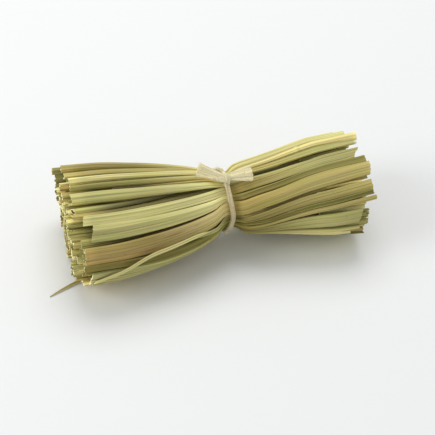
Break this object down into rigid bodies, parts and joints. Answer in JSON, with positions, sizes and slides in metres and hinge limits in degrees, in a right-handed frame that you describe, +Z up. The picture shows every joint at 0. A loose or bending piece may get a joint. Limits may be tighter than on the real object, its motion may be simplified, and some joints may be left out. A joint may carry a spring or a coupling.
{
  "type": "bunch of reeds",
  "caption": "Short-cut dried reeds and flat leaves bound at the middle with cotton string, splaying to a flattened oval at each end; lies on its side.",
  "frame": {"origin": "the middle of the bottom of the whole object's box, on the surface that the bunch lies on", "axes": "+X runs along the bunch from the end with the loose sliver to the other end; +Z is up from the surface it lies on; +Y is horizontal, across the bunch, away from the side that the paler broad leaves face"},
  "size_m": [0.111, 0.0506, 0.0331],
  "materials": {
    "reed": "dried yellow-green straw, matt with a slight sheen",
    "tan_reed": "dried tan straw, matt with a slight sheen",
    "string": "twisted undyed cotton, matt"
  },
  "bodies": {
    "root": {"back_leaf_1": "reed", "back_leaf_2": "reed", "back_leaf_3": "reed", "back_stem_1": "reed", "back_stem_2": "reed", "broad_stem": "reed", "broken_sliver": "tan_reed", "cotton_tie": "string", "crossing_strip": "reed", "dark_leaf": "reed", "dark_leaf_slim": "reed", "green_leaf_broad": "reed", "inner_leaf_01": "reed", "inner_leaf_03": "reed", "inner_leaf_04": "reed", "inner_leaf_06": "reed", "inner_leaf_07": "reed", "inner_leaf_09": "reed", "inner_leaf_10": "reed", "inner_leaf_12": "reed", "inner_leaf_13": "reed", "inner_reeds": "reed", "inner_stem_02": "reed", "inner_stem_05": "reed", "inner_stem_08": "reed", "inner_stem_11": "reed", "jointed_stem": "reed", "low_leaf": "reed", "low_stem": "reed", "middle_leaf_01": "reed", "middle_leaf_03": "reed", "middle_leaf_04": "reed", "middle_leaf_06": "reed", "middle_leaf_07": "reed", "middle_leaf_09": "reed", "middle_leaf_10": "reed", "middle_leaf_12": "reed", "middle_leaf_13": "reed", "middle_leaf_15": "reed", "middle_leaf_16": "reed", "middle_stem_02": "reed", "middle_stem_05": "reed", "middle_stem_08": "reed", "middle_stem_11": "reed", "middle_stem_14": "reed", "middle_stem_17": "reed", "pale_leaf_broad": "reed", "pale_leaf_upper": "reed", "pale_stem": "reed", "rest_leaf_1": "reed", "rest_leaf_2": "reed", "rest_stem_1": "reed", "rest_stem_2": "reed", "slim_stem": "reed", "slim_tan_leaf": "tan_reed", "tan_leaf_broad": "tan_reed", "top_stem": "reed", "yellow_leaf": "reed"}
  },
  "joints": []
}
